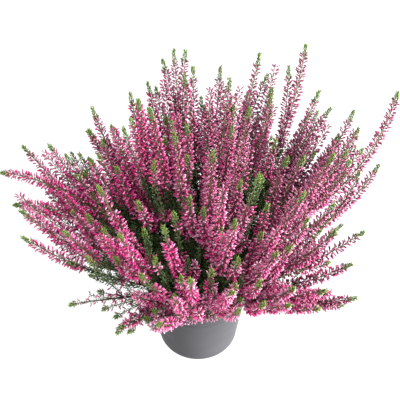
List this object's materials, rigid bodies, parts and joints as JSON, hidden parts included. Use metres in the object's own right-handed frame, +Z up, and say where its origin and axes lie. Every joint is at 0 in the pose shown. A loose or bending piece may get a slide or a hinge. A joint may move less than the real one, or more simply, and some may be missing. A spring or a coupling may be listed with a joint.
{
  "type": "potted heather",
  "caption": "Bushy heather plant with leafy woody shoots that end in pink flower spikes, rooted in peat in a round tapered grey plastic pot.",
  "frame": {"origin": "centre of the pot's underside, on the surface that the pot stands on", "axes": "+Z up along the pot's axis, -Y towards the plant's front, +X to its right"},
  "size_m": [0.3847, 0.3076, 0.3],
  "materials": {
    "pot_grey": "satin",
    "peat": "rough",
    "foliage_green": "matte",
    "bloom_pink": "matte"
  },
  "bodies": {
    "root": {"pot": "pot_grey", "soil": "peat", "plantlet_1": "foliage_green", "plantlet_2": "foliage_green", "plantlet_3": "foliage_green", "plantlet_4": "foliage_green", "plantlet_5": "foliage_green", "plantlet_6": "foliage_green", "plantlet_7": "foliage_green", "plume_01": "bloom_pink", "plume_02": "bloom_pink", "plume_03": "bloom_pink", "plume_04": "bloom_pink", "plume_05": "bloom_pink", "plume_06": "bloom_pink", "plume_07": "bloom_pink", "plume_08": "bloom_pink", "plume_09": "bloom_pink", "plume_10": "bloom_pink", "plume_11": "bloom_pink", "plume_12": "bloom_pink", "plume_13": "bloom_pink", "plume_14": "bloom_pink", "plume_15": "bloom_pink", "plume_16": "bloom_pink", "plume_17": "bloom_pink", "plume_18": "bloom_pink", "plume_19": "bloom_pink", "plume_20": "bloom_pink", "plume_21": "bloom_pink", "plume_22": "bloom_pink", "plume_23": "bloom_pink", "plume_24": "bloom_pink", "plume_25": "bloom_pink", "plume_26": "bloom_pink", "plume_27": "bloom_pink", "plume_28": "bloom_pink", "plume_29": "bloom_pink", "plume_30": "bloom_pink", "plume_31": "bloom_pink", "plume_32": "bloom_pink", "plume_33": "bloom_pink", "plume_34": "bloom_pink", "plume_35": "bloom_pink", "plume_36": "bloom_pink", "plume_37": "bloom_pink", "plume_38": "bloom_pink", "plume_39": "bloom_pink", "plume_40": "bloom_pink", "plume_41": "bloom_pink", "plume_42": "bloom_pink", "plume_43": "bloom_pink", "plume_44": "bloom_pink", "plume_45": "bloom_pink", "plume_46": "bloom_pink", "plume_47": "bloom_pink", "plume_48": "bloom_pink", "plume_49": "bloom_pink", "plume_50": "bloom_pink", "plume_51": "bloom_pink"}
  },
  "joints": []
}
